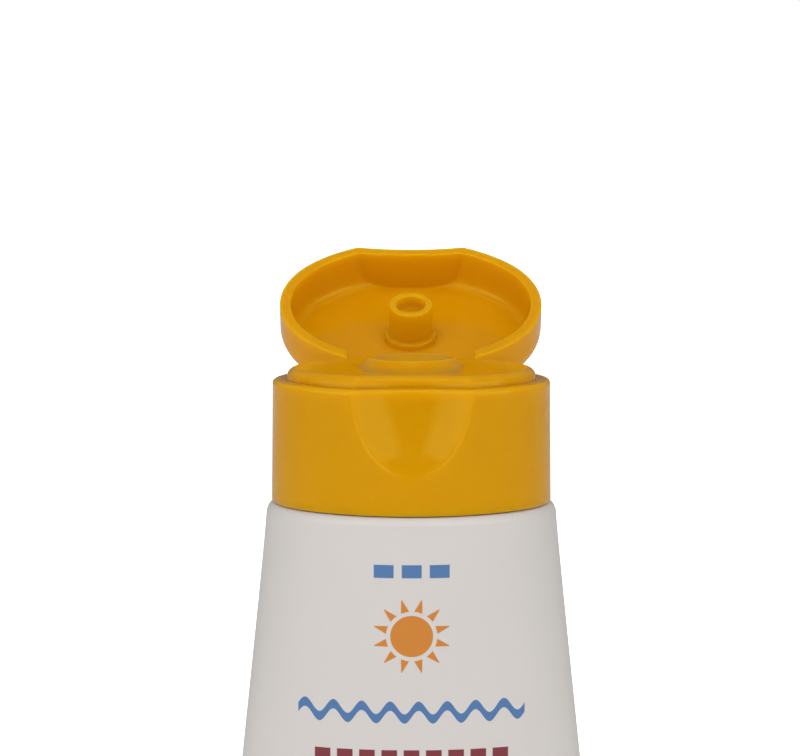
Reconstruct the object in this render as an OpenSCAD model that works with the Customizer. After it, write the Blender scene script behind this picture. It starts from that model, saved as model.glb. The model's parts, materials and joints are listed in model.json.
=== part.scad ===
// Flip-top squeeze tube: a soft oval tube, crimped flat at its tail, under a one-piece cap.
// The cap is a single moulding: a base, a lid and the living hinge that joins them.
// Millimetres. The origin is the middle of the tail end, +Z runs up the tube to the cap,
// -Y is the front, where the thumb scoop is, and the hinge is at the back.

/* [Cap plan] */
// Width of the cap at the parting plane
cap_w = 35.8; // [34:0.1:38]
// Depth of the cap at the parting plane, front to back
cap_d = 31.0; // [30:0.1:33]

/* [Cap base] */
// Height of the skirt, from its foot up to the parting plane
skirt_h = 15.7; // [13:0.1:20]
// How far the skirt's foot stands out past the parting plane's outline
skirt_draft = 0.15; // [0:0.05:0.3]
// Wall of the skirt and of the ledge round the deck
base_wall = 1.3; // [1:0.05:1.5]
// Rounding of the skirt's upper edge
skirt_edge_r = 0.5; // [0.2:0.05:0.7]
// Height of the raised deck above the parting plane
deck_h = 1.5; // [1.3:0.05:2]
// Thickness of the deck's plate
deck_t = 1.3; // [1:0.05:1.6]
// Wall round the hollow under the deck
deck_wall = 1.6; // [1.5:0.05:2]
// Rounding of the deck's edge
deck_edge_r = 1.2; // [0.6:0.05:1.25]
// Gap between the deck's wall and the inside of the closed lid
deck_clearance = 0.35; // [0.25:0.05:0.5]
// Gap left under the skirt's foot where the cap is pushed home
foot_gap = 0.1; // [0.05:0.05:0.3]

/* [Nozzle] */
// Diameter of the nozzle's flat top
nozzle_top_d = 11.7; // [10.5:0.1:13]
// Diameter of the nozzle's foot on the deck
nozzle_foot_d = 15.3; // [14:0.1:17]
// Height of the nozzle above the deck
nozzle_h = 1.3; // [0.9:0.05:1.8]
// Depth of the dish in the nozzle's top
nozzle_dish = 0.45; // [0.2:0.05:0.7]
// Width of the rim left round the dish
nozzle_rim = 0.6; // [0.4:0.05:1]

/* [Lid] */
// Height of the lid above the parting plane, closed
lid_h = 7.2; // [6.6:0.1:9]
// Radius of the lid's rounded top edge
lid_edge_r = 3.35; // [2.5:0.05:3.8]
// Wall of the lid at its rim
lid_wall = 1.5; // [1.2:0.05:1.7]
// Thickness of the lid's top
lid_top_t = 1.2; // [1:0.05:1.5]
// Rounding inside the lid, where its wall meets its top
lid_inner_r = 1.4; // [0.8:0.05:1.5]
// Gap between the lid's rim and the ledge, closed
parting_gap = 0.15; // [0.1:0.05:0.3]

/* [Plug] */
// Outer diameter of the hollow plug inside the lid
plug_d = 5.95; // [5.4:0.05:6.6]
// Bore of the hollow plug
plug_bore_d = 4.0; // [3:0.1:4.4]
// How far the plug's end reaches below the nozzle's top, closed
plug_reach = 2.3; // [1.6:0.1:2.5]
// Taper of the plug's end
plug_taper = 0.25; // [0.1:0.05:0.4]
// Diameter of the collar at the plug's root
collar_d = 7.1; // [6.8:0.1:9]
// Height of the collar at the plug's root
collar_h = 0.9; // [0.5:0.1:1.2]
// Running clearance of the plug in the orifice, on the radius
plug_clearance = 0.15; // [0.12:0.01:0.25]

/* [Thumb scoop] */
// Radius of the ball that hollows out the thumb scoop
scoop_r = 20.0; // [17:0.5:26]
// Depth of the scoop at the parting plane
scoop_depth = 3.1; // [2.4:0.1:3.4]

/* [Hinge] */
// Distance of the hinge line in from the cap's rearmost point
hinge_inset = 1.9; // [1.5:0.05:2.2]
// Height of the hinge line above the parting plane
hinge_up = 0.8; // [0.7:0.05:1.1]
// Thickness of the hinge film
film_t = 0.35; // [0.25:0.05:0.5]
// Length of the hinge film between its two edges
film_len = 1.0; // [0.8:0.05:1.2]
// Distance of the film's ends in from the ends of the hinge flat
film_inset = 0.5; // [0.3:0.1:1.5]
// Height of the relief in the base's back that lets the lid swing down
relief_h = 4.2; // [4:0.1:7]
// Angle that the lid stands open at, from closed
lid_open = 151.7; // [90:0.1:155]

/* [Tube] */
// Length of the sleeve, from the tail end to the shoulder
sleeve_len = 114; // [95:1:150]
// Thickness of the sleeve's wall
sleeve_wall = 0.5; // [0.35:0.05:0.6]
// How far the shoulder stands out past the skirt's foot
shoulder_over = 0.6; // [0.3:0.05:1]
// Radius of the rolled edge at the shoulder
shoulder_r = 1.2; // [0.9:0.05:1.4]
// Width of the sleeve's turned-in lip on top of the head
lip_w = 1.0; // [0.6:0.1:1.5]
// Height of the flat crimp at the tail
crimp_h = 6; // [4:0.5:10]
// Thickness of the crimp
crimp_t = 1.0; // [0.9:0.05:1.2]
// Bulge of the filled tube's faces, where 1 is none
belly = 1.16; // [1:0.01:1.5]

/* [Head] */
// Thickness of the head's shoulder plate
head_t = 1.6; // [1.2:0.1:2.4]
// Outer diameter of the neck
neck_d = 18.0; // [16:0.1:18.6]
// Bore of the neck
neck_bore_d = 14.6; // [12.5:0.1:14.8]
// Gap between the head and the sleeve that it is welded into
head_gap = 0.12; // [0.08:0.01:0.2]
// Height of the snap bead round the neck
bead_r = 0.4; // [0.25:0.05:0.5]
// Distance of the bead below the neck's top
bead_drop = 5; // [3:0.5:8]
// Clearance between the neck and the collar that snaps over it, on the radius
snap_clearance = 0.1; // [0.08:0.01:0.2]
// Wall of the collar inside the base that snaps over the neck
snap_wall = 1.1; // [0.9:0.05:1.2]
// Height above the shoulder at which the snap collar ends
snap_lift = 1.5; // [1:0.1:4]
// Wall of the ring under the deck that seals the neck's bore
seal_wall = 0.9; // [0.7:0.05:1.2]
// How far the seal ring reaches into the neck
seal_reach = 2.5; // [1.5:0.1:4]

/* [Cream] */
// Empty height left between the cream and the head
headspace = 14; // [4:1:40]
// Gap between the cream and the sleeve's inner wall
cream_gap = 0.1; // [0.05:0.01:0.2]

/* [Hidden] */

// Levels
foot_z = sleeve_len + foot_gap;
part_z = foot_z + skirt_h;
deck_z = part_z + deck_h;
under_z = deck_z - deck_t;
nozzle_z = deck_z + nozzle_h;
head_z = sleeve_len - sleeve_wall;
neck_top_z = under_z - foot_gap;

// The cap's plan is an oval of four arcs, and every wall is a parallel offset of it.
// The arcs' centres lie on triangles of 20, 21 and 29 steps, so that neighbours meet exactly,
// on rays that run far_x across for every far_y along.
oval_step = round((cap_w - cap_d) / 24 * 1000) / 1000;
end_c = 20 * oval_step;
side_c = 21 * oval_step;
side_r = cap_d / 2 + side_c;
end_r = side_r - 29 * oval_step;
far_x = 80;
far_y = 84;
reach = cap_w;

// Fits and places that follow from the sizes above
ledge_w = lid_wall + deck_clearance;
orifice_r = plug_d / 2 + plug_clearance;
plug_z = nozzle_z - plug_reach;
hinge_y = cap_d / 2 - hinge_inset;
hinge_z = part_z + hinge_up;
flat_half = sqrt(side_r * side_r - pow(hinge_y + side_c, 2));
film_w = 2 * (flat_half - film_inset);
scoop_y = -(cap_d / 2 - scoop_depth + scoop_r);
snap_r = neck_d / 2 + snap_clearance;

// The sleeve keeps its girth from the oval shoulder down to the flat crimp
shoulder_a = cap_w / 2 + skirt_draft + shoulder_over;
shoulder_b = cap_d / 2 + skirt_draft + shoulder_over;
girth = oval_girth(shoulder_a, shoulder_b);
side_points = 64;
body_rings = 14;
roll_steps = 4;
flattening = 5;
web = 2;
smooth = 96;
edge_meet = 75;
edge_steps = 6;
eps = 0.5;

// Ramanujan's formula for the girth of an oval with half axes a and b
function oval_girth(a, b) = let (h = pow((a - b) / (a + b), 2))
    PI * (a + b) * (1 + 3 * h / (10 + sqrt(4 - 3 * h)));

// Half width that gives the sleeve's girth at half depth b, found by halving
function half_width(b, lo = 0, hi = 60, step = 0) =
    let (mid = (lo + hi) / 2)
    step == 30 ? mid :
    oval_girth(mid, b) > girth ? half_width(b, lo, mid, step + 1) : half_width(b, mid, hi, step + 1);

// Share of the way from the crimp up to the shoulder, and the sleeve's half depth there
function rise(z) = max(0, (z - crimp_h) / (sleeve_len - crimp_h));
function half_depth(z) = crimp_t / 2
    + (shoulder_b - crimp_t / 2) * (1 - pow(1 - min(1, rise(z)), belly));

// Squareness of the section: an ellipse along the body and a bar with round ends at the crimp
function squareness(z) = 2 + 6 * pow(max(0, 1 - rise(z) * flattening), 2);

// One ring of the sleeve at height z, drawn in by inset, its points placed at level
function ring(z, inset, level) =
    let (b = half_depth(z), a = half_width(b), p = squareness(z))
    [for (i = [0 : side_points - 1]) let (t = 360 * i / side_points, x = cos(t))
        [(a - inset) * x, (b - inset) * sign(sin(t)) * pow(max(0, 1 - pow(abs(x), p)), 1 / p), level]];

// Height of a body ring between two levels, with the rings closer together near the crimp
function ring_z(i, low, high) = low + (high - low) * pow(i / body_rings, 1.5);

// Solid between rings of points, closed by its first and its last ring
module loft(rings) {
    n = len(rings[0]);
    last = len(rings) - 1;
    sides = [for (j = [0 : last - 1]) for (i = [0 : n - 1])
        let (a = j * n + i, b = j * n + (i + 1) % n, c = b + n, d = a + n)
        each [[a, d, c], [a, c, b]]];
    polyhedron(
        points = [for (r = rings) each r],
        faces = concat([[for (i = [0 : n - 1]) i]], sides, [[for (i = [n - 1 : -1 : 0]) last * n + i]])
    );
}

// One arc of the oval, between the rays to two far points: the profile's x = 0 runs along the arc
module sector(radius, far_a, far_b) {
    intersection() {
        rotate_extrude($fn = smooth)
            intersection() {
                translate([radius, 0]) children();
                translate([0, -reach]) square([2 * reach, 12 * reach]);
            }
        translate([0, 0, -reach]) linear_extrude(height = 12 * reach) polygon([[0, 0], far_a, far_b]);
    }
}

// Sweeps a profile round the cap's oval, where x = 0 is the outline at the parting plane
module oval_turn() {
    for (half = [0, 180])
        rotate([0, 0, half]) {
            translate([end_c, 0]) sector(end_r, [far_x, -far_y], [far_x, far_y]) children();
            translate([0, -side_c]) sector(side_r, [far_x, far_y], [-far_x, far_y]) children();
        }
}

// Rectangle of a profile from inside the outline out to x, between two heights
module band(x, low, high) {
    translate([-reach, low]) square([reach + x, high - low]);
}

// Band with its upper outer corner rounded
module round_band(x, low, high, r) {
    band(x, low, high - r);
    band(x - r, low, high);
    translate([x - r, high - r]) quarter_disc(r);
}

// Quarter of a disc, its corner at the origin
module quarter_disc(r) {
    intersection() {
        circle(r = r, $fn = smooth);
        square(2 * r);
    }
}

// Ball of the thumb scoop, grown by a wall
module scoop(grow) {
    translate([0, scoop_y, part_z]) sphere(r = scoop_r + grow, $fn = smooth);
}

// Everything behind a plane across the cap's back
module behind(y, low, high) {
    translate([-cap_w, y, low]) cube([2 * cap_w, cap_d, high - low]);
}

// Soft sleeve: its outside from the crimp to the rolled shoulder, then its inside back down
module tube_sleeve() {
    body_top = sleeve_len - shoulder_r;
    inner_r = shoulder_r - sleeve_wall;
    inner_low = crimp_h + web;
    outer = [for (i = [0 : body_rings])
        let (z = ring_z(i, crimp_h, body_top)) ring(z, 0, z)];
    roll = [for (i = [1 : roll_steps]) let (t = 90 * i / roll_steps)
        ring(sleeve_len, shoulder_r * (1 - cos(t)), body_top + shoulder_r * sin(t))];
    lip = [for (z = [sleeve_len, head_z]) ring(sleeve_len, shoulder_r + lip_w, z)];
    inner_roll = [for (i = [roll_steps : -1 : 0]) let (t = 90 * i / roll_steps)
        ring(sleeve_len, sleeve_wall + inner_r * (1 - cos(t)), body_top + inner_r * sin(t))];
    inner = [for (i = [body_rings - 1 : -1 : 0])
        let (z = ring_z(i, inner_low, body_top)) ring(z, sleeve_wall, z)];
    color("white") loft(concat([ring(0, 0, 0)], outer, roll, lip, inner_roll, inner));
}

// Moulded head, welded into the sleeve: the shoulder plate and the neck with its snap bead
module tube_head() {
    edge = skirt_draft + shoulder_over - sleeve_wall - head_gap;
    edge_r = shoulder_r - sleeve_wall;
    top = head_z - head_gap;
    color("whitesmoke")
        difference() {
            union() {
                oval_turn() round_band(edge, top - head_t, top, edge_r);
                translate([0, 0, top - eps]) cylinder(h = neck_top_z - top + eps, d = neck_d, $fn = smooth);
                translate([0, 0, neck_top_z - bead_drop]) bead(neck_d / 2, bead_r);
            }
            translate([0, 0, top - head_t - eps])
                cylinder(h = neck_top_z - top + head_t + 2 * eps, d = neck_bore_d, $fn = smooth);
        }
}

// Half-round ring that stands out from a round wall
module bead(radius, height) {
    rotate_extrude($fn = smooth)
        intersection() {
            translate([radius, 0]) circle(r = height, $fn = 48);
            translate([radius - height / 2, -height]) square([2 * height, 2 * height]);
        }
}

// Cream in the sleeve
module cream() {
    low = crimp_h + web + cream_gap;
    top = head_z - head_t - headspace;
    inset = sleeve_wall + cream_gap;
    color("ivory")
        loft([for (i = [0 : body_rings]) let (z = ring_z(i, low, top)) ring(z, inset, z)]);
}

// Cap base: the skirt, the deck with the nozzle, and inside it the snap collar and the seal ring
module cap_base() {
    color("orange")
        difference() {
            union() {
                difference() {
                    union() {
                        skirt();
                        deck();
                    }
                    base_cavity();
                }
                nozzle();
                hinge_land();
                snap_collar();
                seal_ring();
            }
            scoop(0);
            behind(hinge_y, part_z - relief_h, deck_z + nozzle_h);
            orifice();
        }
}

// Skirt with its slight draft and rounded upper edge
module skirt() {
    edge_z = part_z - skirt_edge_r;
    oval_turn() {
        polygon([[-reach, foot_z], [skirt_draft, foot_z], [0, edge_z], [-reach, edge_z]]);
        band(-skirt_edge_r, edge_z - eps, part_z);
        translate([-skirt_edge_r, edge_z]) quarter_disc(skirt_edge_r);
    }
}

// Raised deck, cut back in front of the lid's scoop and behind at the hinge
module deck() {
    difference() {
        oval_turn() round_band(-ledge_w, part_z - eps, deck_z, deck_edge_r);
        deck_front_cut();
        deck_back_cut();
    }
}

// Profile that cuts a wall at x = 0 and rounds the wall's top edge, crossing the top at a small angle
module edge_cut() {
    round_z = deck_h - deck_edge_r * sin(edge_meet);
    arc = [for (i = [0 : edge_steps]) let (t = edge_meet * i / edge_steps)
        [deck_edge_r * (1 - cos(t)), round_z + deck_edge_r * sin(t)]];
    polygon(concat([[-cap_d, 0], [0, 0]], arc, [[arc[edge_steps][0], 2 * deck_h], [-cap_d, 2 * deck_h]]));
}

// Room for the lid's wall round its scoop
module deck_front_cut() {
    cut_r = scoop_r + ledge_w;
    translate([0, scoop_y, part_z])
        rotate_extrude($fn = smooth)
            intersection() {
                translate([cut_r, 0]) edge_cut();
                square(2 * cut_r);
            }
}

// Room for the lid's wall along the hinge
module deck_back_cut() {
    translate([cap_w / 2, hinge_y - ledge_w, part_z])
        rotate([90, 0, -90])
            linear_extrude(height = cap_w) edge_cut();
}

// Hollow of the base, which leaves a wall behind the scoop and behind the hinge relief
module base_cavity() {
    difference() {
        oval_turn() {
            band(-base_wall, foot_z - eps, part_z - base_wall);
            band(-ledge_w - deck_wall, part_z - base_wall - eps, under_z);
        }
        scoop(base_wall);
        behind(hinge_y - base_wall, part_z - relief_h - base_wall, deck_z);
    }
}

// Low cone on the deck with a dished top
module nozzle() {
    dish_r = nozzle_top_d / 2 - nozzle_rim;
    translate([0, 0, deck_z])
        difference() {
            union() {
                cylinder(h = nozzle_h, d1 = nozzle_foot_d, d2 = nozzle_top_d, $fn = smooth);
                translate([0, 0, -eps]) cylinder(h = eps, d = nozzle_foot_d, $fn = smooth);
            }
            translate([0, 0, nozzle_h - nozzle_dish])
                cylinder(h = nozzle_dish, r1 = orifice_r, r2 = dish_r, $fn = smooth);
            translate([0, 0, nozzle_h]) cylinder(h = eps, r = dish_r, $fn = smooth);
        }
}

// Bore through the deck that the plug closes
module orifice() {
    translate([0, 0, under_z - seal_reach - 2 * eps])
        cylinder(h = deck_t + nozzle_h + seal_reach + 4 * eps, r = orifice_r, $fn = smooth);
}

// Low rib on the ledge that the hinge film grows from
module hinge_land() {
    translate([-film_w / 2, hinge_y - film_t, part_z - eps])
        cube([film_w, film_t, hinge_up - film_len / 2 + eps]);
}

// Collar that snaps over the neck's bead
module snap_collar() {
    low = sleeve_len + snap_lift;
    difference() {
        translate([0, 0, low]) cylinder(h = under_z - low + eps, r = snap_r + snap_wall, $fn = smooth);
        translate([0, 0, low - eps]) cylinder(h = under_z - low + eps, r = snap_r, $fn = smooth);
        translate([0, 0, neck_top_z - bead_drop]) bead(snap_r, bead_r + snap_clearance / 2);
    }
}

// Ring under the deck that seals the neck's bore
module seal_ring() {
    seal_r = neck_bore_d / 2 - snap_clearance;
    low = neck_top_z - seal_reach;
    difference() {
        translate([0, 0, low]) cylinder(h = under_z - low + eps, r = seal_r, $fn = smooth);
        translate([0, 0, low - eps]) cylinder(h = under_z - low + eps, r = seal_r - seal_wall, $fn = smooth);
    }
}

// Turns what is drawn closed to the angle that the lid stands open at
module opened() {
    translate([0, hinge_y, hinge_z])
        rotate([-lid_open, 0, 0])
            translate([0, -hinge_y, -hinge_z]) children();
}

// Lid: a shell with a rounded top, the scoop's upper half and the hollow plug
module cap_lid() {
    color("orange")
        opened()
            difference() {
                union() {
                    difference() {
                        lid_form();
                        lid_cavity();
                    }
                    plug();
                }
                scoop(0);
                behind(hinge_y, part_z - eps, part_z + lid_h + eps);
                hinge_notch();
                plug_bore();
            }
}

// Outer form of the lid
module lid_form() {
    oval_turn() round_band(0, part_z + parting_gap, part_z + lid_h, lid_edge_r);
}

// Hollow of the lid, which keeps the wall's thickness round the edge, the scoop and the hinge
module lid_cavity() {
    difference() {
        oval_turn() round_band(-lid_wall, part_z - eps, part_z + lid_h - lid_top_t, lid_inner_r);
        scoop(lid_wall);
        behind(hinge_y - lid_wall, part_z - 2 * eps, part_z + lid_h);
    }
}

// Gap in the lid's rim between the two ends of the hinge
module hinge_notch() {
    notch_top = hinge_z + film_len / 2;
    half = flat_half + deck_clearance;
    translate([-half, hinge_y - lid_wall - deck_clearance, part_z - eps])
        cube([2 * half, lid_wall + 2 * deck_clearance, notch_top - part_z + eps]);
}

// Plug that closes the orifice, with the collar at its root
module plug() {
    root_z = part_z + lid_h - lid_top_t;
    translate([0, 0, plug_z + plug_taper]) cylinder(h = root_z - plug_z, d = plug_d, $fn = smooth);
    translate([0, 0, plug_z])
        cylinder(h = plug_taper, d1 = plug_d - 2 * plug_taper, d2 = plug_d, $fn = smooth);
    translate([0, 0, root_z - collar_h]) cylinder(h = collar_h + eps, d = collar_d, $fn = smooth);
}

// Bore of the plug, blind under the lid's top
module plug_bore() {
    translate([0, 0, plug_z - eps])
        cylinder(h = part_z + lid_h - lid_top_t - plug_z + eps, d = plug_bore_d, $fn = smooth);
}

// Living hinge: a thin film that folds over between the two edges
module hinge_film() {
    fold_r = film_t / 2 + film_len / (2 * tan(lid_open / 2));
    color("orange")
        translate([film_w / 2, hinge_y - film_t / 2 + fold_r, hinge_z - film_len / 2])
            rotate([0, -90, 0])
                rotate([0, 0, -90])
                    rotate_extrude(angle = lid_open, $fn = smooth)
                        translate([fold_r - film_t / 2, 0]) square([film_t, film_w]);
}

tube_sleeve();
tube_head();
cream();
cap_base();
cap_lid();
hinge_film();
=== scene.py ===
"""Dresses a flip-top squeeze tube: its printed sleeve, its one-piece cap with the lid open, and its stage."""
import json
import math

import bmesh
import bpy
from bpy.props import FloatProperty, FloatVectorProperty, IntProperty, PointerProperty
from mathutils import Matrix, Vector, noise


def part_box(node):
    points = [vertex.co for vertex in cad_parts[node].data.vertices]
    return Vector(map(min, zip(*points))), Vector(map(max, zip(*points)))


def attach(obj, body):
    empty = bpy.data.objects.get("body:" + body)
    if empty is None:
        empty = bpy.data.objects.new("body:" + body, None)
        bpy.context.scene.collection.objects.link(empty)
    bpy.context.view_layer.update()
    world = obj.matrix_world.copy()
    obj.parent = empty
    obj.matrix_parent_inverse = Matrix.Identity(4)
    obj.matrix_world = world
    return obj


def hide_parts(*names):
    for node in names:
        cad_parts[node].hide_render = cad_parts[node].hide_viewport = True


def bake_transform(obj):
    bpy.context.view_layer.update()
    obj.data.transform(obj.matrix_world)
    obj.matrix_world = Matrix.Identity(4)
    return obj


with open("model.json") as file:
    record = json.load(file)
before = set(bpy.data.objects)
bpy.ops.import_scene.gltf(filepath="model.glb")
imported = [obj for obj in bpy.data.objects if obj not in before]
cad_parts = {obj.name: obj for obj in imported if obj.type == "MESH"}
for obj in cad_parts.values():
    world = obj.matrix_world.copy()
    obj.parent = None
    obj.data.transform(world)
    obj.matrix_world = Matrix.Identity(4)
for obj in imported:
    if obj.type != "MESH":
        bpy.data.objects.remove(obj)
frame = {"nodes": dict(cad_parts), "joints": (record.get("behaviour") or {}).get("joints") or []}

bl_info = {
    "name": "Flip-top squeeze tube",
    "version": (1, 0, 0),
    "blender": (4, 5, 0),
    "location": "3D View > Sidebar > Tube",
    "description": "Builds the sleeve, the cap, the cream and the stage round the packed model",
    "category": "Add Mesh",
}

MM = 0.001

# Name, place, width, height and power of the lamps, which all aim at the cap's lower half. The gap between
# key and fill is what the scoop's dark band reflects.
LAMPS = (
    ("key", (-0.84, -0.86, 0.45), 1.9, 0.85, 6.9),
    ("fill", (0.84, -0.86, 0.45), 1.9, 0.85, 6.4),
    ("top", (0.0, -0.45, 1.15), 1.2, 0.8, 2.6),
    ("back", (0.0, 1.2, 0.45), 1.6, 0.85, 3.8),
)
# Strength of the surround for soft light, and for gloss where it looks forward and back
AMBIENT, GLOSS_FRONT, GLOSS_BACK = 0.54, 0.07, 0.15
# The floor's paint, how much less of it gloss sees, and its glow near the tube and from afar
FLOOR_SHADE, FLOOR_DIMMED, FLOOR_GLOW = 0.8, 0.4, (0.45, 1.0)
FLOOR_GLOW_REACH = (0.2, 0.45)
# Span that most of a noise texture's values lie in
NOISE_RANGE = (0.3, 0.7)

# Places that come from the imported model
HINGE_JOINT = frame["joints"][0]
HINGE = Vector(HINGE_JOINT["pos_m"])
LID_OPEN = math.radians(-HINGE_JOINT["range_deg"][0])
FOOT_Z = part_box("cap_base")[0].z
NOZZLE_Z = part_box("cap_base")[1].z
SLEEVE_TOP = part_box("tube_sleeve")[1].z
CREAM_LOW, CREAM_HIGH = (corner.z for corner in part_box("cream"))
FILM_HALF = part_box("hinge_film")[1].x
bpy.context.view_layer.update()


def length(name, description, default):
    """A length property in metres, stated here in millimetres."""
    return FloatProperty(name=name, description=description, default=default * MM, unit="LENGTH", precision=5)


def colour(name, description, default):
    """A linear colour property."""
    return FloatVectorProperty(
        name=name, description=description, default=default, subtype="COLOR", size=3, min=0.0, max=1.0)


class CapSizes(bpy.types.PropertyGroup):
    """Sizes of the cap, shared by its base, its lid and its hinge."""
    width: length("Width", "Width at the parting plane", 35.8)
    depth: length("Depth", "Depth at the parting plane, front to back", 31.0)
    draft: length("Draft", "How far the skirt's foot stands out", 0.15)
    base_wall: length("Base wall", "Wall of the skirt", 1.3)
    skirt_edge: length("Skirt edge", "Rounding of the skirt's upper edge", 0.5)
    foot_edge: length("Foot edge", "Rounding of the skirt's foot", 0.2)
    ledge: length("Ledge", "Width of the ledge round the deck", 1.85)
    deck_height: length("Deck height", "Height of the deck above the parting plane", 1.5)
    deck_edge: length("Deck edge", "Rounding of the deck's edge", 1.2)
    deck_plate: length("Deck plate", "Thickness of the deck", 1.3)
    deck_wall: length("Deck wall", "Wall round the hollow under the deck", 1.6)
    hinge_up: length("Hinge height", "Height of the hinge line above the parting plane", 0.8)
    relief: length("Relief", "Height of the relief in the base's back", 4.2)
    film: length("Film", "Thickness of the hinge film", 0.35)
    film_length: length("Film length", "Length of the hinge film", 1.0)
    lid_height: length("Lid height", "Height of the lid, closed", 7.2)
    lid_edge: length("Lid edge", "Radius of the lid's rounded top edge", 3.35)
    lid_wall: length("Lid wall", "Wall of the lid", 1.5)
    lid_top: length("Lid top", "Thickness of the lid's top", 1.2)
    lid_inner: length("Lid inner edge", "Rounding inside the lid", 1.4)
    rim_edge: length("Rim edge", "Rounding of the rim's two edges", 0.22)
    parting: length("Parting gap", "Gap under the closed lid's rim", 0.15)
    scoop_plan: length("Scoop plan radius", "Radius of the thumb scoop seen from above", 45.0)
    scoop_radius: length("Scoop radius", "Radius of the thumb scoop seen from the side", 27.0)
    scoop_depth: length("Scoop depth", "Depth of the scoop at the parting plane", 2.05)
    crease: length("Crease", "Softness of the moulding's edges at the scoop and the hinge", 0.17)


class NozzleSizes(bpy.types.PropertyGroup):
    """Sizes of the nozzle and of the plug that closes it."""
    foot: length("Foot radius", "Radius of the nozzle's foot", 7.65)
    top: length("Top radius", "Radius of the nozzle's flat top", 5.85)
    rim: length("Rim", "Width of the rim round the dish", 0.6)
    dish: length("Dish", "Depth of the dish in the nozzle's top", 0.85)
    flare: length("Flare", "Radius of the hollow at the nozzle's foot", 1.6)
    crown: length("Crown", "Rounding of the nozzle's rim", 0.3)
    orifice: length("Orifice radius", "Radius of the bore that the plug closes", 3.125)
    plug: length("Plug radius", "Outer radius of the hollow plug", 2.975)
    plug_bore: length("Plug bore", "Radius of the plug's bore", 2.0)
    bore_depth: length("Bore depth", "How deep the plug's bore looks", 1.6)
    plug_reach: length("Plug reach", "How far the plug goes below the nozzle's top, closed", 2.3)
    collar: length("Collar radius", "Radius of the collar at the plug's root", 3.55)
    collar_height: length("Collar height", "Height of the collar at the plug's root", 0.9)


class TubeSizes(bpy.types.PropertyGroup):
    """Sizes of the sleeve and of the cream in it."""
    shoulder_width: length("Shoulder width", "Width of the sleeve at the shoulder", 37.3)
    shoulder_depth: length("Shoulder depth", "Depth of the sleeve at the shoulder", 32.5)
    shoulder_edge: length("Shoulder edge", "Radius of the rolled edge at the shoulder", 1.2)
    lip: length("Lip", "Width of the turned-in lip on the head", 1.0)
    wall: length("Wall", "Thickness of the laminate", 0.5)
    crimp_height: length("Crimp height", "Height of the flat crimp", 6.0)
    crimp: length("Crimp thickness", "Thickness of the crimp", 1.0)
    rib_pitch: length("Rib pitch", "Distance between the crimp's pressed ribs", 0.8)
    rib_depth: length("Rib depth", "Depth of the crimp's pressed ribs", 0.07)
    seam_width: length("Seam width", "Width of the lap seam down the back", 1.6)
    seam_height: length("Seam height", "How far the lap seam stands proud", 0.05)
    dent: length("Dent", "Unevenness of the soft wall", 0.25)
    cream_gap: length("Cream gap", "Gap between the cream and the sleeve", 0.1)
    belly: FloatProperty(name="Belly", description="Bulge of the filled tube's faces, where 1 is none",
                         default=1.16, min=1.0, max=1.5)
    steps: IntProperty(name="Steps", description="Steps round the sleeve", default=192, min=48, max=360)


class PrintPlaces(bpy.types.PropertyGroup):
    """Places and sizes of the generic print, which is seen upside down."""
    dashes_z: length("Dashes height", "Height of the short dashes", 107.2)
    dash: length("Dash", "Length of a dash", 2.5)
    dash_thickness: length("Dash thickness", "Thickness of a dash", 1.7)
    dashes_half: length("Dashes half width", "Half width of the row of dashes", 4.75)
    sun_z: length("Sun height", "Height of the sun's middle", 98.8)
    sun_radius: length("Sun radius", "Radius of the sun with its rays", 4.9)
    wave_z: length("Wave height", "Height of the wave line", 88.8)
    wave_half: length("Wave half width", "Half width of the wave line", 14.4)
    wave_length: length("Wave length", "Length of one wave", 3.6)
    wave_swell: length("Wave swell", "Height of a wave over its middle", 0.85)
    wave_line: length("Wave line", "Half the thickness of the wave line", 0.62)
    bar_z: length("Bar height", "Height of the lower row of dashes", 82.2)
    bar_half: length("Bar half width", "Half width of the lower row of dashes", 12.3)
    bar_dash: length("Bar dash", "Length of a dash in the lower row", 2.0)
    bar_thickness: length("Bar thickness", "Thickness of a dash in the lower row", 3.2)
    rays: IntProperty(name="Rays", description="Rays round the sun", default=12, min=6, max=24)


class Colours(bpy.types.PropertyGroup):
    """Colours of the tube, its cap and its print."""
    cap: colour("Cap", "Yellow-orange moulded plastic", (0.63, 0.290, 0.001))
    sleeve: colour("Sleeve", "Soft white laminate", (0.605, 0.573, 0.546))
    head: colour("Head", "Natural white plastic", (0.74, 0.73, 0.70))
    cream: colour("Cream", "Thick lotion", (0.86, 0.82, 0.72))
    orange: colour("Orange ink", "Ink of the sun", (0.57, 0.20, 0.02))
    blue: colour("Blue ink", "Ink of the dashes and the wave", (0.07, 0.17, 0.37))
    red: colour("Red ink", "Ink of the lower row of dashes", (0.20, 0.03, 0.04))


class StageSizes(bpy.types.PropertyGroup):
    """Camera and lights."""
    lens: FloatProperty(name="Lens", description="Focal length of the camera, in millimetres", default=139.5)
    distance: length("Distance", "Distance of the camera in front of the tube's axis", 397.4)
    rise: length("Rise", "Height of the camera above the parting plane", 43.2)
    aside: length("Aside", "Distance of the camera to the right of the tube's axis", -1.46)
    pitch: FloatProperty(name="Pitch", description="How far the camera looks down", default=math.radians(6.2),
                         subtype="ANGLE")


def smaller(a, b, blend):
    """The smaller of two values, with a soft passage between them."""
    near = max(blend - abs(a - b), 0.0) / blend
    return min(a, b) - near * near * blend / 4


def larger(a, b, blend):
    """The larger of two values, with a soft passage between them."""
    return -smaller(-a, -b, blend)


def arc_points(centre, radius, start, end, steps):
    """Points on an arc in a profile, from one angle in degrees to another."""
    for i in range(steps + 1):
        angle = math.radians(start + (end - start) * i / steps)
        yield centre[0] + radius * math.cos(angle), centre[1] + radius * math.sin(angle)


def between(low, high, steps):
    """Evenly spaced values from low to high, both included."""
    return [low + (high - low) * i / steps for i in range(steps + 1)]


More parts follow.
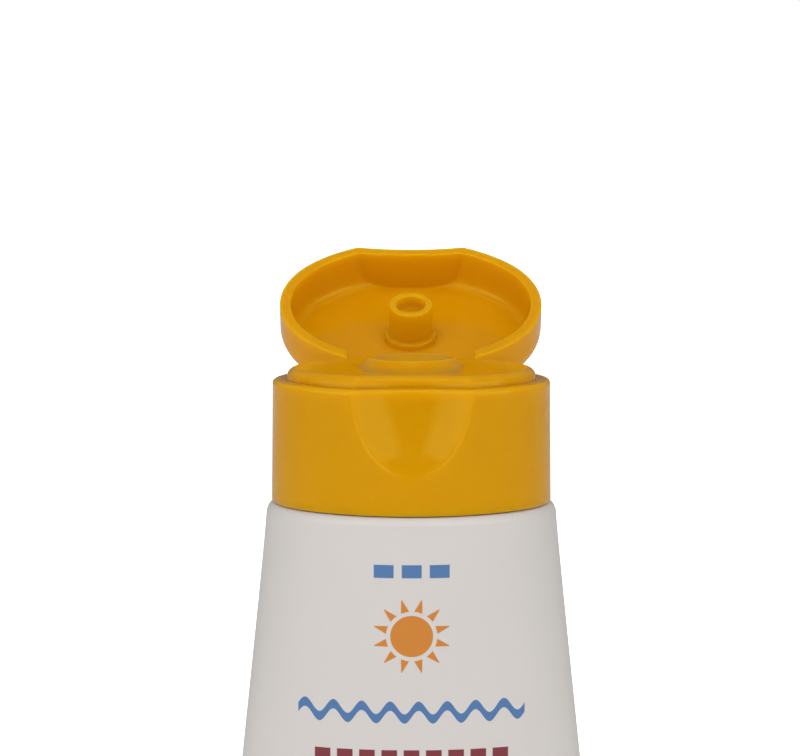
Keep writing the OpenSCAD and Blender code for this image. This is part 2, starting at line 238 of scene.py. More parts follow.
def spun(name, rows, place, steps, closed):
    """A piece from a profile of rows: spun half round, mirrored, then each vertex set by place(row, angle)."""
    mesh = bmesh.new()
    row_of = mesh.verts.layers.int.new("row")
    points = []
    for index, row in enumerate(rows):
        start = (0.0, 0.0, index) if row.get("radius") == 0.0 else (0.0, -1.0 - 0.01 * index, 0.0)
        point = mesh.verts.new(start)
        point[row_of] = index
        points.append(point)
    pairs = list(zip(points, points[1:])) + ([(points[-1], points[0])] if closed else [])
    edges = [mesh.edges.new(pair) for pair in pairs]
    bmesh.ops.spin(mesh, geom=points + edges, axis=(0, 0, 1), cent=(0, 0, 0), steps=steps // 2, angle=math.pi)
    bmesh.ops.remove_doubles(mesh, verts=mesh.verts, dist=1e-6)
    bmesh.ops.mirror(mesh, geom=mesh.verts[:] + mesh.edges[:] + mesh.faces[:], merge_dist=1e-5, axis="X")
    for vertex in mesh.verts:
        angle = math.atan2(vertex.co.y, vertex.co.x)
        vertex.co = place(rows[vertex[row_of]], angle)
    bmesh.ops.remove_doubles(mesh, verts=mesh.verts, dist=1e-6)
    bmesh.ops.recalc_face_normals(mesh, faces=mesh.faces)
    return finished(name, mesh)


def finished(name, mesh, smooth=True):
    """Puts a bmesh into a new object at the origin."""
    data = bpy.data.meshes.new(name)
    mesh.to_mesh(data)
    mesh.free()
    data.shade_smooth() if smooth else data.shade_flat()
    piece = bpy.data.objects.new(name, data)
    bpy.context.scene.collection.objects.link(piece)
    return piece


def dress(piece, body, slot, material, *nodes):
    """Gives a piece its material and its body, and hides the nodes that it stands for."""
    piece.data.materials.append(material)
    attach(piece, body)
    if nodes:
        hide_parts(*nodes)


# The cap's oval and the thumb scoop

RAY_ACROSS, RAY_ALONG, RAY_LENGTH = 20, 21, 29

# Steps of the spin from the front, and the angle from the front that they have come to
CROWD = ((0, 0), (110, 28), (120, 36), (176, 148), (196, 162), (205, 180))
CAP_STEPS = 2 * CROWD[-1][0]


def oval_point(cap, angle, inset):
    """Point of the cap's oval, drawn in by inset, where its outward normal has this angle."""
    step = (cap.width - cap.depth) / 24
    side_radius = cap.depth / 2 + RAY_ALONG * step
    end_radius = side_radius - RAY_LENGTH * step
    c, s = math.cos(angle), math.sin(angle)
    if abs(s) * RAY_ACROSS < abs(c) * RAY_ALONG:
        r = end_radius - inset
        return math.copysign(RAY_ACROSS * step, c) + r * c, r * s
    r = side_radius - inset
    return r * c, r * s - math.copysign(RAY_ALONG * step, s)


def crowded(angle):
    """Crowds the steps round the cap where the scoop's edge and the hinge flat's ends are."""
    turn = (angle + math.pi / 2 + math.pi) % math.tau - math.pi
    step = abs(turn) / math.tau * CAP_STEPS
    for (low, start), (high, end) in zip(CROWD, CROWD[1:]):
        if step <= high:
            break
    away = math.radians(start + (end - start) * (step - low) / (high - low))
    return math.copysign(away, turn) - math.pi / 2


def scoop_y(cap, x, up, grow):
    """Where the barrel that makes the scoop, grown by a wall, stands across the cap's front."""
    axis = -(cap.depth / 2 - cap.scoop_depth + cap.scoop_plan)
    bulge = math.sqrt(max((cap.scoop_radius + grow) ** 2 - up * up, 0.0))
    radius = cap.scoop_plan - cap.scoop_radius + bulge
    return axis + math.sqrt(max(radius * radius - x * x, 0.0))


def cap_place(cap, row, angle):
    """Place of a vertex of the cap, closed: on the oval, behind the scoop and before the hinge's flat."""
    angle = crowded(angle)
    z = row["z"]
    if "radius" in row:
        return Vector((row["radius"] * math.cos(angle), row["radius"] * math.sin(angle), z))
    parting = HINGE.z - cap.hinge_up
    x, y = oval_point(cap, angle, row["inset"])
    y = larger(y, scoop_y(cap, x, z - parting, row.get("front", row["inset"])), cap.crease)
    if row.get("flat", True):
        y = smaller(y, HINGE.y - row.get("back", row["inset"]), cap.crease)
    if "lift" in row:
        half = row["notch"] + 0.2 * MM
        share = min(max((half - abs(x)) / (0.4 * MM), 0.0), 1.0) if y > 0 else 0.0
        z += row["lift"] * share
    return Vector((x, y, z))


def base_rows(cap, nozzle):
    """Profile of the cap's base, once round its wall: outside, deck, orifice and inside."""
    parting = HINGE.z - cap.hinge_up
    deck = parting + cap.deck_height
    under = deck - cap.deck_plate
    relief = parting - cap.relief
    rows = []

    def oval(inset, z, **more):
        rows.append({"inset": inset, "z": z, **more})

    def skirt_inset(z):
        return -cap.draft * (parting - z) / (parting - FOOT_Z)

    for x, z in arc_points((skirt_inset(FOOT_Z) + cap.foot_edge, FOOT_Z + cap.foot_edge), cap.foot_edge, 270, 180, 4):
        oval(x, z, flat=False, front=0.0)
    scoop_reach = math.sqrt(cap.scoop_radius ** 2 - (cap.scoop_radius - cap.scoop_depth) ** 2) + 0.3 * MM
    for z in between(FOOT_Z + 1.0 * MM, parting - scoop_reach, 5):
        oval(skirt_inset(z), z, flat=False, front=0.0)
    for z in between(parting - scoop_reach + 0.1 * MM, relief - 0.04 * MM, 64):
        oval(skirt_inset(z), z, flat=False, front=0.0)
    top = parting - cap.skirt_edge
    for z in between(relief + 0.04 * MM, top - 0.08 * MM, 32):
        oval(skirt_inset(z), z, front=0.0, back=0.0)
    for x, z in arc_points((cap.skirt_edge, top), cap.skirt_edge, 180, 90, 7):
        oval(x, z, back=0.35 * x)
    oval(cap.ledge - 0.12 * MM, parting)
    oval(cap.ledge - 0.03 * MM, parting + 0.04 * MM)
    oval(cap.ledge, parting + 0.13 * MM)
    edge = cap.deck_edge
    for x, z in arc_points((cap.ledge + edge, deck - edge), edge, 180, 90, 10):
        oval(x, z)
    oval(cap.ledge + edge + 0.3 * MM, deck)
    for radius, z in nozzle_profile(nozzle, deck, NOZZLE_Z):
        rows.append({"radius": radius, "z": z})
    inner = cap.base_wall
    hollow = cap.ledge + cap.deck_wall
    for widening, drop in ((0.0, 0.8 * MM), (0.9 * MM, 0.8 * MM), (1.0 * MM, 0.0)):
        rows.append({"radius": nozzle.orifice + widening, "z": under - drop})
    rows.append({"radius": 7.2 * MM, "z": under})
    oval(hollow + 0.2 * MM, under)
    for z in between(under - 0.2 * MM, parting - inner, 3):
        oval(hollow, z)
    for z in between(parting - inner - 0.1 * MM, relief - inner, 8):
        oval(inner, z, back=inner)
    for z in between(relief - inner - 0.1 * MM, FOOT_Z, 14):
        oval(inner, z, flat=False)
    return rows


def nozzle_profile(nozzle, deck, top):
    """Profile of the nozzle: flared foot on the deck, flank, rounded rim, dish, and into the orifice."""
    flare, crown = nozzle.flare, nozzle.crown
    yield nozzle.foot + 0.5 * MM, deck
    foot = (nozzle.foot, deck + flare)
    yield from arc_points(foot, flare, 270, 225, 8)
    rim = (nozzle.top - crown, top - crown)
    yield from arc_points(rim, crown, 40, 90, 6)
    lip = nozzle.top - nozzle.rim
    fall = math.degrees(math.atan2(nozzle.dish, lip - nozzle.orifice))
    yield from arc_points((lip + 0.1 * MM, top - 0.15 * MM), 0.15 * MM, 90, 90 + fall, 3)
    bottom = top - nozzle.dish
    yield from arc_points((nozzle.orifice + 0.2 * MM, bottom - 0.2 * MM), 0.2 * MM, 90 + fall, 180, 4)


def plug_profile(nozzle, end, ceiling):
    """Profile of the hollow plug: bore, rounded end, outside and collar, down to the lid's ceiling."""
    soft = 0.25 * MM
    corner = 0.3 * MM
    floor = end + nozzle.bore_depth
    yield 0.0, floor
    yield from arc_points((nozzle.plug_bore - corner, floor - corner), corner, 90, 0, 5)
    yield from arc_points((nozzle.plug_bore + soft, end + soft), soft, 180, 270, 5)
    yield from arc_points((nozzle.plug - soft, end + soft), soft, 270, 360, 5)
    yield from arc_points((nozzle.plug + soft, ceiling - nozzle.collar_height - soft), soft, 180, 90, 4)
    yield from arc_points((nozzle.collar - soft, ceiling - nozzle.collar_height + soft), soft, 270, 360, 4)
    yield from arc_points((nozzle.collar + soft, ceiling - soft), soft, 180, 90, 4)


def lid_rows(cap, nozzle):
    """Profile of the lid, closed: from the plug's bore, round the hollow and the rim, to the middle of its top."""
    parting = HINGE.z - cap.hinge_up
    rim = parting + cap.parting
    top = parting + cap.lid_height
    ceiling = top - cap.lid_top
    wall = cap.lid_wall
    lift = HINGE.z + cap.film_length / 2 - rim
    half = math.sqrt(max((cap.depth / 2) ** 2 - HINGE.y ** 2, 0.0))
    notch = max(half, FILM_HALF + 0.5 * MM)
    rows = [{"radius": radius, "z": z} for radius, z in plug_profile(nozzle, NOZZLE_Z - nozzle.plug_reach, ceiling)]
    rows.append({"radius": 4.0 * MM, "z": ceiling})

    def oval(inset, z, grow, **more):
        rows.append({"inset": inset, "z": z, "front": grow, "back": grow, **more})

    oval(wall + cap.lid_inner + 3.0 * MM, ceiling, wall + 0.6 * MM)
    for x, z in arc_points((wall + cap.lid_inner, ceiling - cap.lid_inner), cap.lid_inner, 90, 180, 8):
        oval(x, z, wall)
    for z in between(ceiling - cap.lid_inner - 0.3 * MM, HINGE.z + 0.9 * MM, 10):
        oval(wall, z, wall)
    edge = cap.rim_edge
    for x, z in arc_points((wall - edge, rim + edge), edge, 0, -90, 4):
        oval(x, z, x, lift=lift, notch=notch)
    for x, z in arc_points((edge, rim + edge), edge, 270, 180, 4):
        oval(x, z, x, lift=lift, notch=notch)
    side_top = top - cap.lid_edge
    for z in between(HINGE.z + 0.9 * MM, side_top - 0.12 * MM, 22):
        oval(0.0, z, 0.0)
    for x, z in arc_points((cap.lid_edge, side_top), cap.lid_edge, 180, 90, 40):
        oval(x, z, 0.0)
    oval(cap.lid_edge + 0.4 * MM, top, 0.0)
    oval(cap.lid_edge + 5.0 * MM, top, 0.0)
    rows.append({"radius": 0.0, "z": top})
    return rows


def opened(piece):
    """Turns a piece that was made closed to the angle that the lid stands open at."""
    turn = Matrix.Translation(HINGE) @ Matrix.Rotation(-LID_OPEN, 4, "X") @ Matrix.Translation(-HINGE)
    piece.data.transform(turn)


# The sleeve's section, from the oval shoulder to the flat crimp at a constant girth


def oval_girth(a, b):
    """Ramanujan's formula for the girth of an ellipse with half axes a and b."""
    h = ((a - b) / (a + b)) ** 2
    return math.pi * (a + b) * (1 + 3 * h / (10 + math.sqrt(4 - 3 * h)))


def half_width(b, girth):
    """Half width of the ellipse that has this girth at half depth b, found by halving."""
    low, high = 0.0, girth
    for _ in range(40):
        middle = (low + high) / 2
        low, high = (low, middle) if oval_girth(middle, b) > girth else (middle, high)
    return low


def section(tube, z):
    """Half width, half depth and squareness of the sleeve at a height."""
    rise = max(0.0, (z - tube.crimp_height) / (SLEEVE_TOP - tube.crimp_height))
    end = tube.shoulder_depth / 2
    b = tube.crimp / 2 + (end - tube.crimp / 2) * (1 - (1 - min(1.0, rise)) ** tube.belly)
    girth = oval_girth(tube.shoulder_width / 2, end)
    return half_width(b, girth), b, 2 + 6 * max(0.0, 1 - 5 * rise) ** 2


def sleeve_row(tube, z, inset, level, **more):
    """Row of the sleeve with the section of height z, drawn in by inset, at a level."""
    a, b, power = section(tube, z)
    return {"a": a - inset, "b": b - inset, "power": power, "z": level, **more}


def sleeve_rows(tube):
    """Profile of the sleeve: outside from the tail to the lip, then inside back down."""
    body_top = SLEEVE_TOP - tube.shoulder_edge
    rows = [{"radius": 0.0, "z": 0.0}, sleeve_row(tube, 0.0, 0.12 * MM, 0.0)]
    rib_steps = 52
    for z in between(0.12 * MM, tube.crimp_height - 0.3 * MM, rib_steps):
        wave = 0.5 - 0.5 * math.cos(math.tau * z / tube.rib_pitch)
        rows.append(sleeve_row(tube, 0.0, 0.0, z, rib=tube.rib_depth * wave))
    for i in range(71):
        z = tube.crimp_height + (body_top - tube.crimp_height) * (i / 70) ** 1.3
        rows.append(sleeve_row(tube, z, 0.0, z, outside=True))
    for x, z in arc_points((tube.shoulder_edge, body_top), tube.shoulder_edge, 180, 90, 8):
        if z > body_top:
            rows.append(sleeve_row(tube, SLEEVE_TOP, x, z))
    for z in (SLEEVE_TOP, SLEEVE_TOP - tube.wall):
        rows.append(sleeve_row(tube, SLEEVE_TOP, tube.shoulder_edge + tube.lip, z))
    inner = tube.shoulder_edge - tube.wall
    for x, z in arc_points((tube.shoulder_edge, body_top), inner, 90, 180, 5):
        rows.append(sleeve_row(tube, SLEEVE_TOP, x, z))
    low = tube.crimp_height + 2.0 * MM
    for i in range(29, -1, -1):
        z = low + (body_top - low) * (i / 30) ** 1.3
        rows.append(sleeve_row(tube, z, tube.wall, z))
    rows.append({"radius": 0.0, "z": low})
    return rows


def sleeve_place(tube, row, angle):
    """Place of a vertex of the sleeve, with the crimp's ribs, the lap seam and the soft wall's unevenness."""
    if "radius" in row:
        return Vector((0.0, 0.0, row["z"]))
    c, s = math.cos(angle), math.sin(angle)
    depth = max(0.0, 1 - abs(c) ** row["power"]) ** (1 / row["power"])
    x, y = row["a"] * c, row["b"] * math.copysign(depth, s)
    y -= math.copysign(row.get("rib", 0.0) * min(1.0, depth * 2), s)
    if row.get("outside"):
        if s > 0:
            lap = min(max((tube.seam_width / 2 - abs(x)) / (0.3 * MM), 0.0), 1.0)
            y += tube.seam_height * lap
        fade = min(1.0, (SLEEVE_TOP - row["z"]) / (60 * MM)) * min(1.0, (row["z"] - tube.crimp_height) / (8 * MM))
        y -= math.copysign(tube.dent * fade * depth * (1 + noise.noise(Vector((x, s, row["z"])) * 45)), s)
    return Vector((x, y, row["z"]))


def cream_rows(tube):
    """Profile of the cream: its outside, and a top that dips in the middle."""
    inset = tube.wall + tube.cream_gap
    rows = [{"radius": 0.0, "z": CREAM_LOW}]
    for i in range(31):
        z = CREAM_LOW + (CREAM_HIGH - CREAM_LOW) * (i / 30) ** 1.3
        rows.append(sleeve_row(tube, z, inset + (0.15 * MM if z < CREAM_LOW + 10 * MM else 0.3 * MM), z))
    for i in range(1, 8):
        share = i / 8
        dip = 1.6 * MM * share * share
        rows.append(sleeve_row(tube, CREAM_HIGH, inset + 0.3 * MM + 14 * MM * share, CREAM_HIGH - dip))
    rows.append({"radius": 0.0, "z": CREAM_HIGH - 1.7 * MM})
    return rows


# Materials


class Nodes:
    """A material's node tree, with short calls for the nodes that the finishes here use."""

    def __init__(self, name):
        self.material = bpy.data.materials.new(name)
        self.material.use_nodes = True
        self.tree = self.material.node_tree
        self.tree.nodes.clear()
        self.output = self.tree.nodes.new("ShaderNodeOutputMaterial")
        self.coordinates = self.tree.nodes.new("ShaderNodeTexCoord").outputs["Object"]

    def add(self, kind, settings=(), **inputs):
        """Adds a node, sets its settings, and links or sets its inputs by name or by number."""
        node = self.tree.nodes.new(kind)
        for key, value in dict(settings).items():
            setattr(node, key, value)
        for key, value in inputs.items():
            socket = node.inputs[int(key[1:])] if key[0] == "_" else node.inputs[key.replace("_", " ")]
            if isinstance(value, bpy.types.NodeSocket):
                self.tree.links.new(value, socket)
            else:
                socket.default_value = value
        return node

    def math(self, operation, a, b=0.0, clamp=False):
        """The result of a maths node."""
        return self.add("ShaderNodeMath", {"operation": operation, "use_clamp": clamp}, _0=a, _1=b).outputs[0]

    def noise(self, scale, detail=2.0, roughness=0.5):
        """A noise texture on the object's own coordinates."""
        return self.add("ShaderNodeTexNoise", Vector=self.coordinates, Scale=scale, Detail=detail,
                        Roughness=roughness).outputs["Fac"]

    def spread(self, value, low, high, to_low, to_high):
        """Maps a value from one range to another."""
        node = self.add("ShaderNodeMapRange", Value=value, From_Min=low, From_Max=high, To_Min=to_low, To_Max=to_high)
        return node.outputs[0]

    def mixed(self, share, a, b):
        """Mixes two colours by a share."""
        node = self.tree.nodes.new("ShaderNodeMix")
        node.data_type = "RGBA"
        for index, value in ((0, share), (6, a), (7, b)):
            if isinstance(value, bpy.types.NodeSocket):
                self.tree.links.new(value, node.inputs[index])
            else:
                node.inputs[index].default_value = value if index == 0 else (*value, 1.0)
        return node.outputs[2]

    def bump(self, height, strength, distance):
        """A bump from a height, in metres."""
        return self.add("ShaderNodeBump", Height=height, Strength=strength, Distance=distance).outputs[0]

    def plastic(self, **inputs):
        """Ends the tree in a Principled shader with these inputs."""
        shader = self.add("ShaderNodeBsdfPrincipled", **inputs)
        self.tree.links.new(shader.outputs[0], self.output.inputs["Surface"])
        return self.material


def cap_plastic(colours):
    """Glossy moulded plastic: faint flow clouds in the colour, a fine uneven gloss and a slight orange peel."""
    nodes = Nodes("cap_plastic")
    cap = Vector(colours.cap)
    clouds = nodes.spread(nodes.noise(70, 2), *NOISE_RANGE, 0.0, 1.0)
    base = nodes.mixed(clouds, tuple(cap * 0.985), tuple(cap * 1.015))
    haze = nodes.spread(nodes.noise(260, 3), *NOISE_RANGE, 0.095, 0.125)
    scuffs = nodes.spread(nodes.noise(55, 4, 0.65), 0.62, 0.74, 0.0, 0.06)
    peel = nodes.bump(nodes.noise(520, 2), 0.25, 0.000008)
    return nodes.plastic(Base_Color=base, Roughness=nodes.math("ADD", haze, scuffs), Normal=peel, IOR=1.46,
                         Specular_IOR_Level=0.5, Specular_Tint=(0.9, 1.0, 0.22, 1.0), Subsurface_Weight=0.85,
                         Subsurface_Radius=(1.0, 1.0, 0.1), Subsurface_Scale=0.004)


def shared_plastic(context):
    """The cap's one material, made by the first piece that asks for it."""
    return bpy.data.materials.get("cap_plastic") or cap_plastic(context.scene.tube_colours)


def ink_mask(nodes, distance):
    """Turns a distance, below zero inside a printed shape, into a share of ink with a soft edge."""
    return nodes.spread(distance, -0.00004, 0.00004, 1.0, 0.0)


def dashes(nodes, x, z, half, dash, count, thickness):
    """Distance to a row of an odd count of dashes, with one in the middle."""
    pitch = (2 * half - dash) / (count - 1)
    away = nodes.math("PINGPONG", x, pitch / 2)
    along = nodes.math("SUBTRACT", away, dash / 2)
    across = nodes.math("SUBTRACT", nodes.math("ABSOLUTE", z), thickness / 2)
    reach = nodes.math("SUBTRACT", nodes.math("ABSOLUTE", x), half)
    return nodes.math("MAXIMUM", nodes.math("MAXIMUM", along, across), reach)


def printed(nodes, places, colours, base):
    """Prints a sun, short dashes, a wave line and a lower row of dashes on the sleeve's front."""
    split = nodes.add("ShaderNodeSeparateXYZ", Vector=nodes.coordinates)
    x, y, z = split.outputs
    front = nodes.math("LESS_THAN", y, 0.0)
    up = nodes.math("SUBTRACT", z, places.sun_z)
    r = nodes.math("SQRT", nodes.math("ADD", nodes.math("MULTIPLY", x, x), nodes.math("MULTIPLY", up, up)))
    turn = nodes.math("ARCTAN2", up, x)
    ray = math.tau / places.rays
    off = nodes.math("PINGPONG", turn, ray / 2)
    across = nodes.math("MULTIPLY", r, nodes.math("SUBTRACT", ray / 2, off))
    size = places.sun_radius
    taper = nodes.spread(r, size * 0.66, size, size * 0.11, size * 0.01)
    rays = nodes.math("MAXIMUM", nodes.math("SUBTRACT", across, taper), nodes.math("SUBTRACT", r, size))
    rays = nodes.math("MAXIMUM", rays, nodes.math("SUBTRACT", size * 0.66, r))
    disc = nodes.math("SUBTRACT", r, size * 0.55)
    sun = ink_mask(nodes, nodes.math("MINIMUM", disc, rays))
    low = nodes.math("SUBTRACT", z, places.dashes_z)
    marks = dashes(nodes, x, low, places.dashes_half, places.dash, 3, places.dash_thickness)
    wave_z = nodes.math("SUBTRACT", z, places.wave_z)
    turns = nodes.math("MULTIPLY", x, math.tau / places.wave_length)
    swell = nodes.math("MULTIPLY", nodes.math("SINE", turns), places.wave_swell)
    wave = nodes.math("SUBTRACT", nodes.math("ABSOLUTE", nodes.math("SUBTRACT", wave_z, swell)), places.wave_line)
    wave = nodes.math("MAXIMUM", wave, nodes.math("SUBTRACT", nodes.math("ABSOLUTE", x), places.wave_half))
    blue = ink_mask(nodes, nodes.math("MINIMUM", marks, wave))
    lower = nodes.math("SUBTRACT", z, places.bar_z)
    bar = dashes(nodes, x, lower, places.bar_half, places.bar_dash, 9, places.bar_thickness)
    red = ink_mask(nodes, bar)
    for mask, ink in ((sun, colours.orange), (blue, colours.blue), (red, colours.red)):
        base = nodes.mixed(nodes.math("MULTIPLY", mask, front), base, tuple(ink))
    return base


def sleeve_laminate(places, colours):
    """Soft white laminate with a satin sheen, faint scuffs in its gloss, and the print."""
    nodes = Nodes("sleeve_laminate")
    white = Vector(colours.sleeve)
    clouds = nodes.spread(nodes.noise(40, 3), *NOISE_RANGE, 0.0, 1.0)
    base = nodes.mixed(clouds, tuple(white * 0.985), tuple(white * 1.01))
    base = printed(nodes, places, colours, base)
    gloss = nodes.spread(nodes.noise(500, 5), 0.3, 0.75, 0.34, 0.46)
    grain = nodes.bump(nodes.noise(2500, 2), 0.15, 0.00002)
    return nodes.plastic(Base_Color=base, Roughness=gloss, Normal=grain, IOR=1.45)


def head_plastic(colours):
    """Natural white plastic, a little cloudy and dull."""
    nodes = Nodes("head_plastic")
    white = Vector(colours.head)
    base = nodes.mixed(nodes.noise(200, 3), tuple(white * 0.94), tuple(white * 1.03))
    grain = nodes.bump(nodes.noise(1800, 3), 0.2, 0.00003)
    gloss = nodes.spread(nodes.noise(700), *NOISE_RANGE, 0.42, 0.55)
    return nodes.plastic(Base_Color=base, Roughness=gloss, Normal=grain)


def cream_lotion(colours):
    """Thick lotion: off-white, wet and softly lumpy."""
    nodes = Nodes("cream_lotion")
    cream = Vector(colours.cream)
    base = nodes.mixed(nodes.noise(150, 4), tuple(cream * 0.93), tuple(cream * 1.04))
    lumps = nodes.bump(nodes.noise(350, 4), 0.5, 0.0003)
    gloss = nodes.spread(nodes.noise(600), *NOISE_RANGE, 0.2, 0.35)
    return nodes.plastic(Base_Color=base, Roughness=gloss, Normal=lumps)


def pale_paint(name):
    """Matt pale paint that the camera sees as white, apart from shadows, and that gloss sees dimmed."""
    nodes = Nodes(name)
    path = nodes.add("ShaderNodeLightPath")
    seen = nodes.math("MAXIMUM", path.outputs["Is Camera Ray"], path.outputs["Is Transmission Ray"])
    dimmed = nodes.math("SUBTRACT", 1.0, nodes.math("MULTIPLY", path.outputs["Is Glossy Ray"], FLOOR_DIMMED))
    grain = nodes.spread(nodes.noise(30, 3), *NOISE_RANGE, FLOOR_SHADE * 0.99, FLOOR_SHADE)
    grain = nodes.math("MULTIPLY", grain, dimmed)
    tone = nodes.add("ShaderNodeCombineColor", _0=grain, _1=grain, _2=grain).outputs[0]
    paint = nodes.add("ShaderNodeBsdfDiffuse", Color=tone)
    away = nodes.add("ShaderNodeVectorMath", {"operation": "LENGTH"}, _0=nodes.coordinates).outputs["Value"]
    strength = nodes.spread(away, *FLOOR_GLOW_REACH, *FLOOR_GLOW)
    glow = nodes.add("ShaderNodeEmission", Color=(1, 1, 1, 1), Strength=nodes.math("MULTIPLY", seen, strength))
    both = nodes.add("ShaderNodeAddShader", _0=paint.outputs[0], _1=glow.outputs[0])
    nodes.tree.links.new(both.outputs[0], nodes.output.inputs["Surface"])
    return nodes.material


def surround(scene):
    """Surround that the camera sees as white, that lights evenly, and that gloss sees darker in front."""
    world = bpy.data.worlds.new("surround")
    world.use_nodes = True
    tree = world.node_tree
    tree.nodes.clear()
    output = tree.nodes.new("ShaderNodeOutputWorld")
    background = tree.nodes.new("ShaderNodeBackground")
    background.inputs["Color"].default_value = (1, 1, 1, 1)
    path = tree.nodes.new("ShaderNodeLightPath")
    place = tree.nodes.new("ShaderNodeTexCoord")
    split = tree.nodes.new("ShaderNodeSeparateXYZ")
    tree.links.new(place.outputs["Generated"], split.inputs[0])
    behind = tree.nodes.new("ShaderNodeMapRange")
    for name, value in (("From Min", -0.9), ("From Max", 0.2), ("To Min", GLOSS_FRONT), ("To Max", GLOSS_BACK)):
        behind.inputs[name].default_value = value
    tree.links.new(split.outputs["Y"], behind.inputs["Value"])
    strength = AMBIENT
    for ray, seen in (("Is Glossy Ray", behind.outputs[0]), ("Is Camera Ray", 1.0)):
        choose = tree.nodes.new("ShaderNodeMix")
        tree.links.new(path.outputs[ray], choose.inputs[0])
        for socket, value in ((choose.inputs[2], strength), (choose.inputs[3], seen)):
            if isinstance(value, float):
                socket.default_value = value
            else:
                tree.links.new(value, socket)
        strength = choose.outputs[0]
    tree.links.new(strength, background.inputs["Strength"])
    tree.links.new(background.outputs[0], output.inputs["Surface"])
    scene.world = world


# Operators


class TUBE_OT_sleeve(bpy.types.Operator):
    """Builds the printed sleeve, from its crimp to its rolled shoulder"""
    bl_idname = "tube.sleeve"
    bl_label = "Sleeve"

    def execute(self, context):
        tube = context.scene.tube_sizes
        sleeve = spun("sleeve", sleeve_rows(tube), lambda row, angle: sleeve_place(tube, row, angle),
                      tube.steps, closed=False)
        material = sleeve_laminate(context.scene.print_places, context.scene.tube_colours)
        dress(sleeve, "tube", "sleeve", material, "tube_sleeve")
        return {"FINISHED"}


class TUBE_OT_contents(bpy.types.Operator):
    """Builds the cream and finishes the moulded head that closes the sleeve"""
    bl_idname = "tube.contents"
    bl_label = "Head and cream"

    def execute(self, context):
        tube = context.scene.tube_sizes
        colours = context.scene.tube_colours
        cream = spun("cream_fill", cream_rows(tube), lambda row, angle: sleeve_place(tube, row, angle),
                     96, closed=False)
        dress(cream, "tube", "cream", cream_lotion(colours), "cream")
        head = frame["nodes"]["tube_head"]
        head.data.materials.clear()
        head.data.materials.append(head_plastic(colours))
        return {"FINISHED"}


class TUBE_OT_cap_base(bpy.types.Operator):
    """Builds the cap's base: skirt, scoop, ledge, deck, nozzle and orifice"""
    bl_idname = "tube.cap_base"
    bl_label = "Cap base"

    def execute(self, context):
        cap = context.scene.cap_sizes
        base = spun("base_shell", base_rows(cap, context.scene.nozzle_sizes),
                    lambda row, angle: cap_place(cap, row, angle), CAP_STEPS, closed=True)
        dress(base, "tube", "cap", shared_plastic(context), "cap_base")
        return {"FINISHED"}


class TUBE_OT_cap_lid(bpy.types.Operator):
    """Builds the lid's shell with the hollow plug inside it, turned open"""
    bl_idname = "tube.cap_lid"
    bl_label = "Cap lid"

    def execute(self, context):
        cap, nozzle = context.scene.cap_sizes, context.scene.nozzle_sizes
        lid = spun("lid_shell", lid_rows(cap, nozzle), lambda row, angle: cap_place(cap, row, angle),
                   CAP_STEPS, closed=False)
        opened(lid)
        dress(lid, "lid", "cap", shared_plastic(context), "cap_lid")
        return {"FINISHED"}


class TUBE_OT_hinge(bpy.types.Operator):
    """Builds the living hinge: the film, folded over, and the low rib that it grows from"""
    bl_idname = "tube.hinge"
    bl_label = "Hinge"

    def execute(self, context):
        cap = context.scene.cap_sizes
        plastic = shared_plastic(context)
        fold = cap.film / 2 + cap.film_length / (2 * math.tan(LID_OPEN / 2))
        start = HINGE.z - cap.film_length / 2
        mesh = bmesh.new()
        bmesh.ops.create_grid(mesh, x_segments=24, y_segments=2, size=0.5)
        for vertex in mesh.verts:
            vertex.co = (vertex.co.x * 2 * FILM_HALF, HINGE.y - cap.film / 2 + vertex.co.y * cap.film, start)
        bmesh.ops.spin(mesh, geom=mesh.verts[:] + mesh.edges[:] + mesh.faces[:], axis=(1, 0, 0),
                       cent=(0, HINGE.y - cap.film / 2 + fold, start), steps=16, angle=-LID_OPEN)
        bmesh.ops.remove_doubles(mesh, verts=mesh.verts, dist=1e-7)
        bmesh.ops.recalc_face_normals(mesh, faces=mesh.faces)
        film = finished("hinge_web", mesh)
        film.data.materials.append(plastic)
        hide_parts("hinge_film")
        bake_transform(film)
        mesh = bmesh.new()
        bmesh.ops.create_cube(mesh, size=1.0)
        low = HINGE.z - cap.hinge_up - 0.5 * MM
        for vertex in mesh.verts:
            vertex.co = (vertex.co.x * 2 * FILM_HALF, HINGE.y - cap.film / 2 + vertex.co.y * cap.film,
                         low if vertex.co.z < 0 else start)
        rib = finished("hinge_rib", mesh)
        dress(rib, "tube", "cap", plastic)
        return {"FINISHED"}


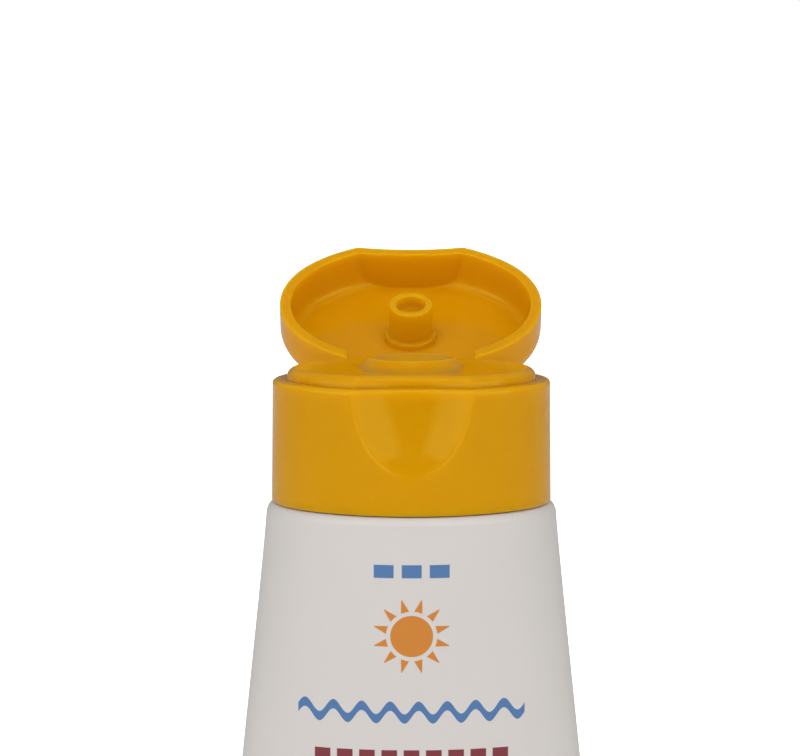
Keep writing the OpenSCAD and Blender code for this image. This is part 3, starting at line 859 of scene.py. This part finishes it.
class TUBE_OT_stage(bpy.types.Operator):
    """Sets the floor, the soft lights, the white surround and the camera"""
    bl_idname = "tube.stage"
    bl_label = "Stage"

    def execute(self, context):
        stage = context.scene.stage_sizes
        parting = HINGE.z - context.scene.cap_sizes.hinge_up
        mesh = bmesh.new()
        bmesh.ops.create_grid(mesh, x_segments=4, y_segments=4, size=4.0)
        bmesh.ops.translate(mesh, verts=mesh.verts, vec=(0, 0, -0.02 * MM))
        floor = finished("floor", mesh, smooth=False)
        floor.data.materials.append(pale_paint("floor_paint"))
        aim = Vector((0, 0, parting - 0.02))
        for name, place, width, height, power in LAMPS:
            lamp = bpy.data.lights.new(name, "AREA")
            lamp.shape = "RECTANGLE"
            lamp.size = width
            lamp.size_y = height
            lamp.energy = power
            light = bpy.data.objects.new(name, lamp)
            light.location = place
            light.visible_camera = False
            light.visible_glossy = name != "back"
            light.rotation_euler = (aim - Vector(place)).to_track_quat("-Z", "Y").to_euler()
            context.scene.collection.objects.link(light)
        surround(context.scene)
        camera = bpy.data.objects.new("camera", bpy.data.cameras.new("camera"))
        camera.data.lens = stage.lens
        camera.data.sensor_width = 36.0
        camera.data.clip_start = 0.01
        camera.data.clip_end = 50.0
        camera.location = (stage.aside, -stage.distance, parting + stage.rise)
        camera.rotation_euler = (math.pi / 2 - stage.pitch, 0, 0)
        context.scene.collection.objects.link(camera)
        context.scene.camera = camera
        context.scene.view_settings.view_transform = "Standard"
        return {"FINISHED"}


class TUBE_PT_panel(bpy.types.Panel):
    """Lists the pieces of the tube and its main sizes"""
    bl_idname = "TUBE_PT_panel"
    bl_label = "Squeeze tube"
    bl_space_type = "VIEW_3D"
    bl_region_type = "UI"
    bl_category = "Tube"

    def draw(self, context):
        for operator in OPERATORS:
            self.layout.operator(operator.bl_idname)
        for group in ("cap_sizes", "tube_sizes", "tube_colours"):
            box = self.layout.box()
            settings = getattr(context.scene, group)
            for name in settings.__annotations__:
                box.prop(settings, name)


GROUPS = {
    "cap_sizes": CapSizes,
    "nozzle_sizes": NozzleSizes,
    "tube_sizes": TubeSizes,
    "print_places": PrintPlaces,
    "tube_colours": Colours,
    "stage_sizes": StageSizes,
}
OPERATORS = (TUBE_OT_sleeve, TUBE_OT_contents, TUBE_OT_cap_base, TUBE_OT_cap_lid, TUBE_OT_hinge, TUBE_OT_stage)


def register():
    """Registers the settings, the operators and the panel."""
    for group in GROUPS.values():
        bpy.utils.register_class(group)
    for name, group in GROUPS.items():
        setattr(bpy.types.Scene, name, PointerProperty(type=group))
    for item in (*OPERATORS, TUBE_PT_panel):
        bpy.utils.register_class(item)


def unregister():
    """Takes back what register did."""
    for item in (TUBE_PT_panel, *reversed(OPERATORS)):
        bpy.utils.unregister_class(item)
    for name in GROUPS:
        delattr(bpy.types.Scene, name)
    for group in reversed(GROUPS.values()):
        bpy.utils.unregister_class(group)


def main():
    """Registers the classes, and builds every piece."""
    register()
    bpy.ops.tube.sleeve()
    bpy.ops.tube.contents()
    bpy.ops.tube.cap_base()
    bpy.ops.tube.cap_lid()
    bpy.ops.tube.hinge()
    bpy.ops.tube.stage()


if __name__ == "__main__":
    main()
